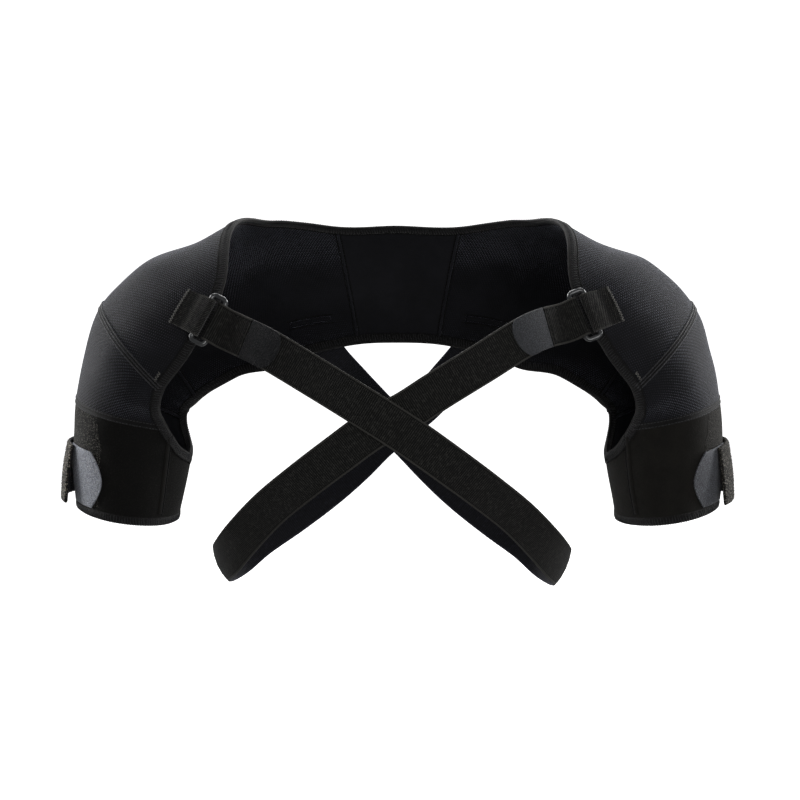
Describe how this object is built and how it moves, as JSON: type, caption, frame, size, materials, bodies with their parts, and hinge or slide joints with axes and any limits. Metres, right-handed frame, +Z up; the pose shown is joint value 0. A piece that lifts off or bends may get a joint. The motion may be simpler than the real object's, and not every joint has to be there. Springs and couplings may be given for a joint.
{
  "type": "double shoulder brace",
  "caption": "Neoprene shell over the upper back and shoulders with arm cuffs and crossing elastic chest straps, worn to support the shoulders.",
  "frame": {"origin": "midway between the wearer's shoulders, at the height where the shell sits on them", "axes": "+Z up, the front of the brace faces -Y, +X towards the wearer's left"},
  "size_m": [0.5396, 0.209, 0.301],
  "materials": {
    "smooth_neoprene": "smooth jersey over neoprene",
    "mesh_neoprene": "perforated neoprene with a fine knit face",
    "loop_fabric": "brushed loop face",
    "webbing": "ribbed elastic webbing",
    "hook_tape": "grey hook tape",
    "ring_plastic": "glossy"
  },
  "bodies": {
    "root": {"back_panel": "smooth_neoprene", "shoulder_panel_left": "mesh_neoprene", "shoulder_panel_right": "mesh_neoprene", "sleeve_cap_left": "mesh_neoprene", "sleeve_cap_right": "mesh_neoprene", "arm_cuff_left": "loop_fabric", "arm_cuff_right": "loop_fabric", "closure_strip_left": "loop_fabric", "closure_strip_right": "loop_fabric", "closure_tab_left": "hook_tape", "closure_tab_right": "hook_tape", "anchor_tab_left": "webbing", "anchor_tab_right": "webbing", "ring_left": "ring_plastic", "ring_right": "ring_plastic", "strap_left": "webbing", "strap_right": "webbing", "strap_tab_left": "hook_tape", "strap_tab_right": "hook_tape"}
  },
  "joints": []
}
